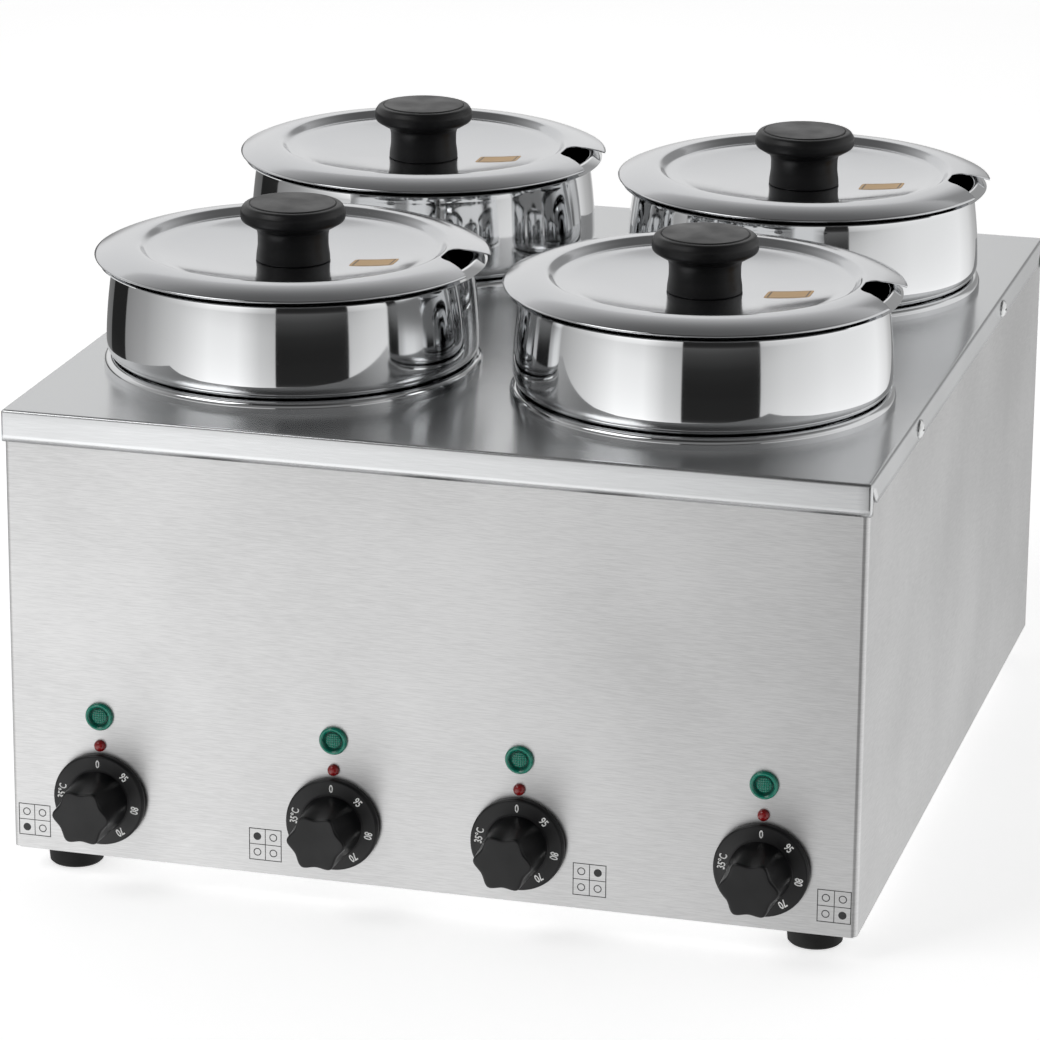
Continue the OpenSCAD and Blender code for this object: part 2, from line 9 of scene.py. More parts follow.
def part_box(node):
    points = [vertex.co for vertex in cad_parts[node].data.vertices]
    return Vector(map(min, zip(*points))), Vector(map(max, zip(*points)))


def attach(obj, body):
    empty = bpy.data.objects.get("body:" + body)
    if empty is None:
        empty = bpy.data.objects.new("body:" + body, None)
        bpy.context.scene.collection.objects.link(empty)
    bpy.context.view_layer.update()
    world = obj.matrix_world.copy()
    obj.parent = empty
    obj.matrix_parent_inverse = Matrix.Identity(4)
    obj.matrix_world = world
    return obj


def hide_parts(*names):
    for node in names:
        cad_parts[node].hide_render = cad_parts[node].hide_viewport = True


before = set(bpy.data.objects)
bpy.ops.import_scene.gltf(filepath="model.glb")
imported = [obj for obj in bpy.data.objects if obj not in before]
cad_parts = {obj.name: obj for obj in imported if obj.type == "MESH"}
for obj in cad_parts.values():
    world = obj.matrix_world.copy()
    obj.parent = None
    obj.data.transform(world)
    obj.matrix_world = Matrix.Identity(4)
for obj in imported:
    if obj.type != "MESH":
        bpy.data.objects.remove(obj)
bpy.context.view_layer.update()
stations = ["fl", "bl", "br", "fr"]


# ---- Studio ------------------------------------------------------------------
# A pale seamless floor under soft even light, seen from the front right and above. A round tent of
# graded cloth, which only reflections see, gives the metal its tones, and black flags on it give the
# polished walls their dark stripes.

def linear(code):
    """Linear colour of an sRGB hex code."""
    parts = [int(code[k:k + 2], 16) / 255 for k in (1, 3, 5)]
    return [c / 12.92 if c < 0.04045 else ((c + 0.055) / 1.055) ** 2.4 for c in parts] + [1.0]


def node(tree, kind, inputs=None, **settings):
    """Adds a shader node with its settings; an input is a value or another node's output."""
    made = tree.nodes.new(kind)
    for key, value in settings.items():
        setattr(made, key, value)
    for key, value in (inputs or {}).items():
        if isinstance(value, bpy.types.NodeSocket):
            tree.links.new(value, made.inputs[key])
        else:
            made.inputs[key].default_value = value
    return made


def shader(name, colour, roughness, metallic=0.0, **constants):
    """New material with a Principled shader; returns the material, its tree and the shader."""
    mat = bpy.data.materials.new(name)
    mat.use_nodes = True
    tree = mat.node_tree
    skin = tree.nodes["Principled BSDF"]
    skin.inputs["Base Color"].default_value = linear(colour)
    skin.inputs["Roughness"].default_value = roughness
    skin.inputs["Metallic"].default_value = metallic
    for key, value in constants.items():
        skin.inputs[key.replace("_", " ")].default_value = value
    return mat, tree, skin


def grid_mesh(name, points, faces, sharp=35, plan=None):
    """Mesh object from points and faces, doubles merged so that seams and poles are closed.
    plan holds each point's UV where a pattern or a smear follows the sheet."""
    mesh = bpy.data.meshes.new(name)
    mesh.from_pydata(points.reshape(-1, 3).tolist(), [], faces.tolist())
    if plan is not None:
        mesh.uv_layers.new(name="plan").data.foreach_set("uv", plan[faces.ravel()].ravel())
    weld = bmesh_of(mesh)
    bmesh.ops.remove_doubles(weld, verts=weld.verts, dist=2e-7)
    bmesh.ops.dissolve_degenerate(weld, edges=weld.edges, dist=1e-8)
    bmesh.ops.recalc_face_normals(weld, faces=weld.faces)
    weld.to_mesh(mesh)
    weld.free()
    mesh.shade_smooth()
    mesh.set_sharp_from_angle(angle=radians(sharp))
    piece = bpy.data.objects.new(name, mesh)
    bpy.context.scene.collection.objects.link(piece)
    return piece


def bmesh_of(mesh):
    """Editable copy of a mesh."""
    weld = bmesh.new()
    weld.from_mesh(mesh)
    return weld


def quads(rows, columns, wrap_rows=False, wrap_columns=False):
    """Corner numbers of the quads of a rows by columns grid, wrapped round where asked."""
    r, c = np.meshgrid(np.arange(rows - (not wrap_rows)), np.arange(columns - (not wrap_columns)),
                       indexing="ij")
    r2, c2 = (r + 1) % rows, (c + 1) % columns
    return np.stack([r * columns + c, r2 * columns + c, r2 * columns + c2, r * columns + c2], -1).reshape(-1, 4)


floor_size = 14.0
flat = np.array([[x, y, 0.0] for x in (-1, 1) for y in (-1, 1)]) * floor_size
floor = grid_mesh("floor", flat - [0, 0, 0.0002], np.array([[0, 2, 3, 1]]))
floor_paint, tree, skin = shader("matt_white_floor", "#FAFAFA", 0.9)
place = node(tree, "ShaderNodeTexCoord")
speck = node(tree, "ShaderNodeTexNoise", {"Vector": place.outputs["Object"], "Scale": 3.0, "Detail": 2.0})
tone = node(tree, "ShaderNodeMix", {"Factor": speck.outputs["Fac"], "A": linear("#F6F6F6"),
                                    "B": linear("#FDFDFD")},
            data_type="RGBA")
tree.links.new(tone.outputs["Result"], skin.inputs["Base Color"])
skin.inputs["Emission Color"].default_value = linear("#FFFFFF")
skin.inputs["Emission Strength"].default_value = 0.62
floor.data.materials.append(floor_paint)

world = bpy.data.worlds.new("soft_studio")
bpy.context.scene.world = world
world.use_nodes = True
tree = world.node_tree
aim = node(tree, "ShaderNodeTexCoord")
rise = node(tree, "ShaderNodeSeparateXYZ", {"Vector": aim.outputs["Generated"]})
dome = node(tree, "ShaderNodeMapRange", {"Value": rise.outputs["Z"], "From Min": 0.25, "From Max": 0.9,
                                         "To Min": 1.0, "To Max": 0.14}, interpolation_type="SMOOTHSTEP")
ahead = node(tree, "ShaderNodeMapRange", {"Value": rise.outputs["Y"], "From Min": -0.55, "From Max": 0.0,
                                          "To Min": 0.2, "To Max": 1.0}, interpolation_type="SMOOTHSTEP")
both = node(tree, "ShaderNodeMath", {0: dome.outputs["Result"], 1: ahead.outputs["Result"]},
            operation="MULTIPLY")
tree.links.new(both.outputs["Value"], tree.nodes["Background"].inputs["Strength"])
tree.nodes["Background"].inputs["Color"].default_value = linear("#FFFFFF")

# Brightness of the tent's lower and upper cloth, and of the ground under them, by azimuth in degrees
# from the front to the right
low_cloth = np.array([
    [-180, 0.45], [-172, 0.80], [-154, 0.80], [-148, 0.20], [-126, 0.16], [-125, 0.012], [-102, 0.012],
    [-101, 0.30], [-80, 0.46], [-55, 0.85], [-35, 1.28], [-18, 1.28], [-11, 1.05], [-5, 0.82], [-1, 0.76],
    [3.5, 0.70], [4, 0.012], [46, 0.012], [46.5, 0.75], [60, 0.92], [90, 1.10], [135, 1.15],
    [150, 0.90], [160, 0.60], [175, 0.40], [180, 0.45]])
high_cloth = np.array([
    [-180, 0.85], [-172, 0.95], [-100, 0.90], [-80, 0.50], [-55, 0.24], [50, 0.22], [75, 0.60], [100, 0.95],
    [140, 0.95], [150, 0.35], [172, 0.35], [180, 0.85]])
ground = np.array([
    [-180, 0.45], [-160, 0.9], [-100, 1.0], [-60, 1.4], [-30, 1.7], [-18, 1.6], [-5, 0.95], [0, 0.8],
    [20, 0.66], [50, 0.66], [90, 1.1], [130, 1.1], [150, 1.0], [160, 0.72], [172, 0.42], [180, 0.45]])
tent_r, tent_z = 2.1, np.linspace(-2.6, 1.6, 43)
ground_top, low_top, low_fade = -0.5, 0.38, -0.1
azimuth = np.radians(np.arange(-180, 180, 0.5))


def blend(height, sharpness):
    """Smooth step from 0 below a height on the tent to 1 above it."""
    return 1 / (1 + np.exp((height - tent_z[:, None]) * sharpness))


cloths = [np.interp(np.degrees(azimuth), *table.T) for table in (ground, low_cloth, high_cloth)]
above_ground, above_low = blend(ground_top, 25), blend(low_top, 18)
glow = (cloths[0] * (1 - above_ground) + cloths[1] * above_ground * (1 - above_low)
        * (1.06 - 0.25 * blend(low_fade, 8)) + cloths[2] * above_low)
ring = np.stack([tent_r * np.sin(azimuth), -tent_r * np.cos(azimuth)], -1)
tent = grid_mesh("tent", np.array([np.column_stack([ring, np.full(len(ring), z)]) for z in tent_z]),
                 quads(len(tent_z), len(azimuth), False, True))
tent.data.flip_normals()
tent.data.attributes.new("glow", "FLOAT", "POINT").data.foreach_set("value", glow.ravel())
tent_cloth, tree, skin = shader("printed_tent_cloth", "#000000", 1.0)
shade = node(tree, "ShaderNodeAttribute", attribute_name="glow")
skin.inputs["Emission Color"].default_value = linear("#FFFFFF")
tree.links.new(shade.outputs["Fac"], skin.inputs["Emission Strength"])
tent.data.materials.append(tent_cloth)
for seen in ("visible_camera", "visible_diffuse", "visible_shadow", "visible_transmission"):
    setattr(tent, seen, False)
floor.visible_glossy = False


def soft_box(name, place, target, size, power):
    """Square area light at place, turned to face target."""
    lamp = bpy.data.lights.new(name, "AREA")
    lamp.size = size
    lamp.energy = power
    lit = bpy.data.objects.new(name, lamp)
    bpy.context.scene.collection.objects.link(lit)
    lit.location = place
    lit.rotation_euler = (Vector(place) - Vector(target)).to_track_quat("Z", "Y").to_euler()
    return lit


soft_box("key_box", (-1.6, -1.5, 2.2), (0, 0, 0.2), 1.6, 20)

camera = bpy.data.cameras.new("camera")
camera.sensor_width = 36.0
camera.lens = 168.0
camera.clip_end = 40.0
eye = bpy.data.objects.new("camera", camera)
bpy.context.scene.collection.objects.link(eye)
eye_place = (0.6458, -2.4569, 0.9457)
eye_turn, eye_dip, eye_roll = 0.2640, 0.3083, 0.0081
eye.matrix_world = (Matrix.Translation(eye_place) @ Matrix.Rotation(eye_turn, 4, "Z")
                    @ Matrix.Rotation(pi / 2 - eye_dip, 4, "X") @ Matrix.Rotation(eye_roll, 4, "Z"))
bpy.context.scene.camera = eye
bpy.context.scene.view_settings.view_transform = "Standard"
bpy.context.scene.view_settings.look = "None"


# ---- Casing ------------------------------------------------------------------
# One sheet of grade 304 stainless makes the front and both sides, and a second one the back.
# It is 1 mm thick, belt-brushed along its length with a number 4 finish, and bent on a press. Its cut
# edges are eased by deburring.

def brushed_steel(name, colour, roughness, along, streak_mm=0.5, length_mm=14.0, contrast=0.06, round_z=False):
    """Belt-brushed stainless: satin grey metal with fine streaks along one axis, which smear reflections
    across themselves. Real scratches are about 0.05 mm wide; they are drawn wider so that they show.
    With round_z the smear is upright on every wall, else it is across the piece's own UV."""
    mat, tree, skin = shader(name, colour, roughness, metallic=1.0, Anisotropic=0.75, Anisotropic_Rotation=0.25)
    place = node(tree, "ShaderNodeTexCoord")
    scale = [1000 / streak_mm] * 3
    for axis in along:
        scale["XYZ".index(axis)] = 1000 / length_mm
    stretched = node(tree, "ShaderNodeMapping", {"Vector": place.outputs["Object"], "Scale": scale})
    fine = node(tree, "ShaderNodeTexNoise", {"Vector": stretched.outputs["Vector"], "Scale": 1.0, "Detail": 2.0,
                                             "Roughness": 0.6})
    cloud = node(tree, "ShaderNodeTexNoise", {"Vector": place.outputs["Object"], "Scale": 9.0, "Detail": 2.0})
    both = node(tree, "ShaderNodeMath", {0: fine.outputs["Fac"], 1: cloud.outputs["Fac"]}, operation="ADD")
    base = np.array(linear(colour))
    light, dark = base * (1 + contrast), base * (1 - contrast)
    tint = node(tree, "ShaderNodeMapRange", {"Vector": both.outputs["Value"], "From Min": (0.75,) * 3,
                                             "From Max": (1.25,) * 3, "To Min": dark[:3].tolist(),
                                             "To Max": light[:3].tolist()}, data_type="FLOAT_VECTOR")
    gloss = node(tree, "ShaderNodeMapRange", {"Value": both.outputs["Value"], "From Min": 0.7, "From Max": 1.3,
                                              "To Min": roughness - 0.03, "To Max": roughness + 0.03})
    bump = node(tree, "ShaderNodeBump", {"Height": fine.outputs["Fac"], "Strength": 0.3, "Distance": 0.00001})
    way = node(tree, "ShaderNodeTangent", direction_type="RADIAL" if round_z else "UV_MAP")
    if round_z:
        way.axis = "Z"
    tree.links.new(way.outputs["Tangent"], skin.inputs["Tangent"])
    tree.links.new(tint.outputs["Vector"], skin.inputs["Base Color"])
    tree.links.new(gloss.outputs["Result"], skin.inputs["Roughness"])
    tree.links.new(bump.outputs["Normal"], skin.inputs["Normal"])
    return mat


def dress(name, mat):
    """Gives a frame node its material."""
    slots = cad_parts[name].data.materials
    slots.clear()
    slots.append(mat)


wall_steel = brushed_steel("brushed_stainless_casing", "#D1D1D1", 0.40, "XY", 0.42, 9.0, 0.13, True)
dress("casing_wrap", wall_steel)
soft_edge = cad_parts["casing_wrap"].modifiers.new("soft_edge", "BEVEL")
soft_edge.width, soft_edge.segments, soft_edge.limit_method = 0.0004, 2, "ANGLE"
soft_edge.angle_limit = radians(50)
dress("rear_panel", wall_steel)
dress("base_plate", wall_steel)


# ---- Deck --------------------------------------------------------------------
# The top sheet, bent down into a lip at the front and back and a lower flange at each side, whose
# ends are cut slanted. Brushed from left to right, it mirrors the pots as soft upright stripes.

mm = 0.001
deck_low, deck_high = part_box("top_deck")
half_w, front_y, back_y, deck_z = deck_high.x, deck_low.y, deck_high.y, deck_high.z
lip_h = deck_z - deck_low.z
pot_centre = {}
for s in stations:
    low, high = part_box("heater_" + s)
    pot_centre[s] = ((low.x + high.x) / 2, (low.y + high.y) / 2, deck_z)
bend, flange_h, hole_r, cells = 1.6 * mm, 13 * mm, 93.8 * mm, 40
slant = {-1: 14 * mm, 1: 20 * mm}
x_line = np.linspace(0, half_w - bend, cells + 1)
middle_y = (pot_centre["fl"][1] + pot_centre["bl"][1]) / 2
y_line = {-1: np.linspace(front_y + bend, middle_y, cells + 1),
          1: np.linspace(middle_y, back_y - bend, cells + 1)}
deck_parts = []


def add_patch(points, flat, wrap=False):
    """Keeps a patch of the deck: its points, its quads, and its UV, the sheet's own flat plan in metres."""
    deck_parts.append((points.reshape(-1, 3), flat.reshape(-1, 2), quads(*points.shape[:2], False, wrap)))


def top_cell(cx, cy, xs, ys):
    """Flat plate round one hole: rays from the hole's circle to the edge of its rectangle."""
    edge = np.concatenate([np.stack([xs, 0 * xs + ys[0]], -1)[:-1], np.stack([0 * ys + xs[-1], ys], -1)[:-1],
                           np.stack([xs, 0 * xs + ys[-1]], -1)[:0:-1],
                           np.stack([0 * ys + xs[0], ys], -1)[:0:-1]])
    out = edge - [cx, cy]
    circle = [cx, cy] + out / np.linalg.norm(out, axis=1, keepdims=True) * hole_r
    plan = circle + (edge - circle) * np.array([0, 0.04, 0.5, 0.97, 1])[:, None, None]
    add_patch(np.concatenate([plan, np.full(plan.shape[:2] + (1,), deck_z)], -1), plan, True)


def folded(line, drop, fold_y, side, ends):
    """Bend and wall hanging from one edge: an arc, then straight down; ends are cut in as it drops.
    fold_y: the wall is along X at a front or back edge, else it is along Y at a side edge."""
    arc = np.linspace(0, pi / 2, 7)
    out = np.concatenate([bend * np.sin(arc), np.full(4, bend)])
    down = np.concatenate([bend * (1 - np.cos(arc)), np.linspace(bend, drop, 5)[1:]])
    run = np.concatenate([bend * arc, bend * pi / 2 + down[7:] - bend])
    cut = np.clip(down - bend, 0, None)[:, None] / (drop - bend)
    along = line + cut * np.interp(line, [line.min(), line.max()], ends)
    height = (deck_z - down)[:, None] + 0 * along
    if fold_y:
        edge = front_y + bend if side < 0 else back_y - bend
        points = np.stack([along, edge + side * out[:, None] + 0 * along, height], -1)
        flat = np.stack([along, edge + side * run[:, None] + 0 * along], -1)
    else:
        edge = side * (half_w - bend)
        points = np.stack([edge + side * out[:, None] + 0 * along, along, height], -1)
        flat = np.stack([edge + side * run[:, None] + 0 * along, along], -1)
    add_patch(points, flat)


def corner(side_x, side_y):
    """Rounded corner of the two bends, and the lip's small tab turned round below it."""
    x0, y0 = side_x * (half_w - bend), front_y + bend if side_y < 0 else back_y - bend
    a, b = np.meshgrid(np.linspace(0, pi / 2, 7), np.linspace(0, pi / 2, 7), indexing="ij")
    ball = np.stack([x0 + side_x * bend * np.sin(a) * np.sin(b), y0 + side_y * bend * np.sin(a) * np.cos(b),
                     deck_z - bend * (1 - np.cos(a))], -1)
    add_patch(ball, ball[..., :2] + [0, side_y * bend])
    b = np.linspace(0, pi / 2, 7)
    x = np.concatenate([bend * np.sin(b), [bend, bend]])
    y = np.concatenate([bend * np.cos(b), [-1.2 * mm, -2.6 * mm]])
    top = np.concatenate([np.full(7, bend), [6 * mm, 11 * mm]])
    drop = top + (lip_h - top) * np.linspace(0, 1, 5)[:, None]
    tab = np.stack([x0 + side_x * x + 0 * drop, y0 + side_y * y + 0 * drop, deck_z - drop], -1)
    add_patch(tab, np.stack([x0 + side_x * (x - y) + 0 * drop, y0 + side_y * drop], -1))


for s in stations:
    cx, cy, _ = pot_centre[s]
    xs = x_line if cx > 0 else -x_line[::-1]
    top_cell(cx, cy, xs, y_line[-1 if cy < middle_y else 1])
for side in (-1, 1):
    folded(np.concatenate([-x_line[:0:-1], x_line]), lip_h, True, side, (0, 0))
    folded(np.concatenate([y_line[-1][:-1], y_line[1]]), flange_h, False, side,
           (slant[-1] - bend, bend - slant[1]))
    for side_y in (-1, 1):
        corner(side, side_y)
start = np.cumsum([0] + [len(part[0]) for part in deck_parts])
deck_points = np.concatenate([part[0] for part in deck_parts])
deck_plan = np.concatenate([part[1] for part in deck_parts])
deck_quads = np.concatenate([part[2] + k for part, k in zip(deck_parts, start)])
deck = grid_mesh("top_deck_sheet", deck_points, deck_quads, 50, deck_plan)
wall = deck.modifiers.new("sheet", "SOLIDIFY")
wall.thickness = 1.0 * mm
wall.offset = -1.0
deck_steel = brushed_steel("brushed_stainless_deck", "#D0D1D2", 0.23, "X")
deck.data.materials.append(deck_steel)
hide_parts("top_deck")
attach(deck, "casing")


# ---- Wells -------------------------------------------------------------------
# Deep-drawn stainless wells hang in the deck by a rolled, polished collar.

def rounded(corners, radii, steps=6):
    """Line through corners, each inner corner replaced by an arc of its radius that touches both sides."""
    corners = [np.array(c, float) for c in corners]
    line = [corners[0]]
    for k in range(1, len(corners) - 1):
        before, here, after = corners[k - 1:k + 2]
        a, b = before - here, after - here
        la, lb = np.linalg.norm(a), np.linalg.norm(b)
        a, b = a / la, b / lb
        half = acos(np.clip(a @ b, -1, 1)) / 2
        cut = radii[k - 1] / np.tan(half) if half < pi / 2 - 1e-3 else 0
        if cut < 1e-7:
            line.append(here)
            continue
        cut = min(cut, 0.49 * la, 0.49 * lb)
        r = cut * np.tan(half)
        centre = here + (a + b) / np.linalg.norm(a + b) * r / sin(half)
        start, end = here + a * cut - centre, here + b * cut - centre
        turn = np.arctan2(start[0] * end[1] - start[1] * end[0], start @ end)
        for w in np.linspace(0, turn, steps + 1):
            line.append(centre + [start[0] * cos(w) - start[1] * sin(w), start[0] * sin(w) + start[1] * cos(w)])
    line.append(corners[-1])
    return np.array(line)


def beside(line, t):
    """The same line moved by t to its left, along the normal at each point."""
    step = np.gradient(line, axis=0)
    step /= np.linalg.norm(step, axis=1, keepdims=True)
    moved = line + t * np.stack([-step[:, 1], step[:, 0]], -1)
    moved[:, 0] = np.where(line[:, 0] < 1e-9, 0, np.maximum(moved[:, 0], 0))
    return moved


facings = {"up": "XYZ", "front": "XZy", "right": "YZX", "left": "ZYx", "back": "ZXY"}


def placed(across, height, out, centre, facing="up"):
    """Points of a piece whose own axis points up, front, right, left or back from its centre."""
    axes = [np.eye(3)["XYZ".index(c.upper())] * (1 if c.isupper() else -1) for c in facings[facing]]
    return (np.array(centre) + across[..., None] * axes[0] + height[..., None] * axes[1]
            + out[..., None] * axes[2])


def turned(name, outline, centre, around=128, closed=True, sharp=35, facing="up"):
    """Surface of revolution: each outline point (radius, height) goes round the axis in a circle."""
    w = np.arange(around) * 2 * pi / around
    r, z = outline[:, :1], outline[:, 1:]
    points = placed(r * np.cos(w), r * np.sin(w), z + 0 * w, centre, facing)
    return grid_mesh(name, points, quads(len(outline), around, closed, True), sharp)


def polished_steel(name, colour, roughness, ripple=0.0):
    """Buffed stainless: near-mirror metal with the faint haze and slow waviness that buffing leaves."""
    mat, tree, skin = shader(name, colour, roughness, metallic=1.0)
    place = node(tree, "ShaderNodeTexCoord")
    haze = node(tree, "ShaderNodeTexNoise", {"Vector": place.outputs["Object"], "Scale": 14.0, "Detail": 4.0})
    gloss = node(tree, "ShaderNodeMapRange", {"Value": haze.outputs["Fac"], "From Min": 0.3, "From Max": 0.7,
                                              "To Min": roughness * 0.7, "To Max": roughness * 1.4})
    tree.links.new(gloss.outputs["Result"], skin.inputs["Roughness"])
    if ripple:
        drawn = node(tree, "ShaderNodeMapping", {"Vector": place.outputs["Object"], "Scale": (55.0, 55.0, 5.0)})
        slow = node(tree, "ShaderNodeTexNoise", {"Vector": drawn.outputs["Vector"], "Scale": 1.0,
                                                 "Detail": 1.0})
        bump = node(tree, "ShaderNodeBump", {"Height": slow.outputs["Fac"], "Strength": 1.0,
                                             "Distance": ripple})
        tree.links.new(bump.outputs["Normal"], skin.inputs["Normal"])
    return mat


sheet_t = 0.8 * mm
well_steel = polished_steel("polished_stainless_collar", "#D4D5D6", 0.07, 0.00004)
bead_line = np.array([[96.0 + 3.4 * cos(a), 2.6 + 3.4 * sin(a)] for a in np.linspace(pi, 0, 21)])
well_inside = np.concatenate([
    rounded([[0, -144], [90, -144], [90, -5.49], [92.6, -2.9]], [12, 1], 8), bead_line, [[99.4, 0.0]]]) * mm
well_outline = np.concatenate([well_inside, beside(well_inside, -sheet_t)[::-1]])
for s in stations:
    well = turned("well_" + s + "_steel", well_outline, pot_centre[s])
    well.data.materials.append(well_steel)
    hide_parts("well_" + s)
    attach(well, "casing")


# ---- Pots --------------------------------------------------------------------
# Spun and mirror-buffed stainless pots: a shoulder above the collar, walls that lean in, and a rim
# turned out and down under the lid.

pot_steel = polished_steel("mirror_stainless_pot", "#E0E1E2", 0.05, 0.00003)
shoulder = np.array([[87.9 + 10 * cos(a), 14 + 10 * sin(a)] for a in np.linspace(radians(-68.3), 0, 12)])
lean = np.linspace(0, 1, 21)[1:, None]
wall = np.hstack([97.9 - 3.5 * lean ** 1.7, 14 + 39 * lean])
pot_outside = np.concatenate([
    rounded([[0, -140], [88, -140], [88, -7], [91.6, -3.4], shoulder[0]], [12, 1.2, 1.2], 8)[:-1],
    shoulder, wall,
    rounded([wall[-1] + [0, 1], [94.4, 60.6], [101, 56.0]], [1.6], 8)]) * mm
pot_outline = np.concatenate([pot_outside, beside(pot_outside, sheet_t)[::-1]])
for s in stations:
    pot = turned("pot_" + s + "_steel", pot_outline, pot_centre[s], 160)
    pot.data.materials.append(pot_steel)
    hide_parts("pot_" + s)
    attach(pot, "pot_" + s)


# ---- Lids --------------------------------------------------------------------
# Pressed stainless lids with an arched rim, a sunken dished panel and a notch for the ladle's handle.
# They are buffed like the pots, but a little softer.

lid_r, crest_r, panel_r, seat_r = 103.4, 81.6, 75.7, 21.6
notch_w, notch_mouth, notch_corner = 26.0, 52.0, 7.0
lid_z = deck_z + 59.6 * mm
# The dish's slope grows evenly from the knob's seat, then falls off in its last eighth
dish_r = np.linspace(seat_r, panel_r, 200)
dish_share = (dish_r - seat_r) / (panel_r - seat_r)
dish_slope = np.minimum(dish_share, 0.12 + (1 - dish_share) * 6.3)
dish_rise = np.concatenate([[0], np.cumsum((dish_slope[1:] + dish_slope[:-1]) / 2)])
dish_z = -4.0 + 5.6 * dish_rise / dish_rise[-1]


def lid_height(r):
    """Height of the lid's upper face over its outer edge: a dish whose slope grows and then fades at its
    edge, a cosine step up to the crest and a parabola arch down to the edge."""
    step = 1.6 + 1.8 * (1 - np.cos(pi * (r - panel_r) / (crest_r - panel_r)))
    arch = 5.2 * (1 - ((r - crest_r) / (lid_r - crest_r)) ** 2)
    return np.where(r <= panel_r, np.interp(r, dish_r, dish_z), np.where(r <= crest_r, step, arch))


def notch_edge(w):
    """Radius at which the sheet ends in direction w: the lid's edge, or the notch's flared outline."""
    a = np.radians(np.linspace(180, 95, 10))
    x0 = crest_r + 0.6
    bend = np.stack([x0 + notch_corner * (1 + np.cos(a)), notch_w / 2 - notch_corner * (1 - np.sin(a))], -1)
    x = np.linspace(x0 + notch_corner + 1, lid_r, 24)
    half = notch_w / 2 + (notch_mouth - notch_w) / 2 * (np.clip(x - crest_r - 4, 0, None) / 17.8) ** 1.6
    side = np.concatenate([[[x0, 0]], bend, np.stack([x, half], -1)])
    angle, radius = np.arctan2(side[:, 1], side[:, 0]), np.hypot(side[:, 0], side[:, 1])
    return np.where(np.abs(w) <= angle[-1], np.interp(np.abs(w), angle, np.minimum(radius, lid_r)), lid_r)


lid_steel = polished_steel("buffed_stainless_lid", "#C8C9CB", 0.13, 0.00002)
lip = radians(17)
w = np.concatenate([np.linspace(-lip, lip, 121), np.linspace(lip, 2 * pi - lip, 151)[1:-1]])
turn = (w + pi) % (2 * pi) - pi
inner_r = np.concatenate([[3.1], np.linspace(seat_r, panel_r, 28), np.linspace(panel_r, crest_r, 9)[1:]])
share = np.linspace(0, 1, 17)[1:, None]
r = np.concatenate([inner_r[:, None] + 0 * turn, crest_r + (notch_edge(turn) - crest_r) * share])
lid_points = np.stack([r * np.cos(turn), r * np.sin(turn), lid_height(r)], -1) * mm
for s in stations:
    x, y, _ = pot_centre[s]
    lid = grid_mesh("lid_" + s + "_steel", lid_points + [x, y, lid_z],
                    quads(len(r), len(turn), False, True), 60)
    if lid.data.polygons[0].normal.z < 0:
        lid.data.flip_normals()
    wall = lid.modifiers.new("wall", "SOLIDIFY")
    wall.thickness = sheet_t
    wall.offset = -1.0
    lid.data.materials.append(lid_steel)
    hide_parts("lid_" + s)
    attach(lid, "lid_" + s)


# ---- Lid knobs ---------------------------------------------------------------
# Compression-moulded black phenolic: waisted neck, rounded cap and a slightly raised disc on top.
# Each is held by a screw from under its lid.

def moulded_black(name, colour, roughness, grain=0.00004):
    """Moulded black plastic: satin, with a fine orange-peel that softens its highlights."""
    mat, tree, skin = shader(name, colour, roughness, Specular_IOR_Level=0.38)
    place = node(tree, "ShaderNodeTexCoord")
    peel = node(tree, "ShaderNodeTexNoise", {"Vector": place.outputs["Object"], "Scale": 900.0, "Detail": 3.0})
    cloud = node(tree, "ShaderNodeTexNoise", {"Vector": place.outputs["Object"], "Scale": 60.0, "Detail": 3.0})
    gloss = node(tree, "ShaderNodeMapRange", {"Value": cloud.outputs["Fac"], "From Min": 0.3, "From Max": 0.7,
                                              "To Min": roughness - 0.06, "To Max": roughness + 0.08})
    bump = node(tree, "ShaderNodeBump", {"Height": peel.outputs["Fac"], "Strength": 0.5, "Distance": grain})
    tree.links.new(gloss.outputs["Result"], skin.inputs["Roughness"])
    tree.links.new(bump.outputs["Normal"], skin.inputs["Normal"])
    return mat


phenolic = moulded_black("black_phenolic", "#101012", 0.40)
knob_outline = rounded([[0, 0], [19.4, 0], [19.2, 3], [18.5, 8], [18.5, 14], [19.4, 17.2], [22.5, 18.6],
                        [27.4, 21.6], [27.5, 26.4], [25.6, 29.6], [23.0, 29.9], [22.6, 29.2], [22.2, 30.3],
                        [0, 30.4]],
                       [0.6, 8, 20, 20, 4, 3, 3, 3.2, 3, 0.5, 0.2, 0.6], 6) * mm
for s in stations:
    x, y, _ = pot_centre[s]
    knob = turned("lid_knob_" + s + "_cap", knob_outline, (x, y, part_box("lid_knob_" + s)[0].z), 96, False)
    knob.data.materials.append(phenolic)
    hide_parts("lid_knob_" + s)
    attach(knob, "lid_" + s)


# ---- Lid labels --------------------------------------------------------------
# A plain gold foil label, 24 by 14 mm with rounded corners and a thin brown border, is stuck flat on
# each lid beside the knob.

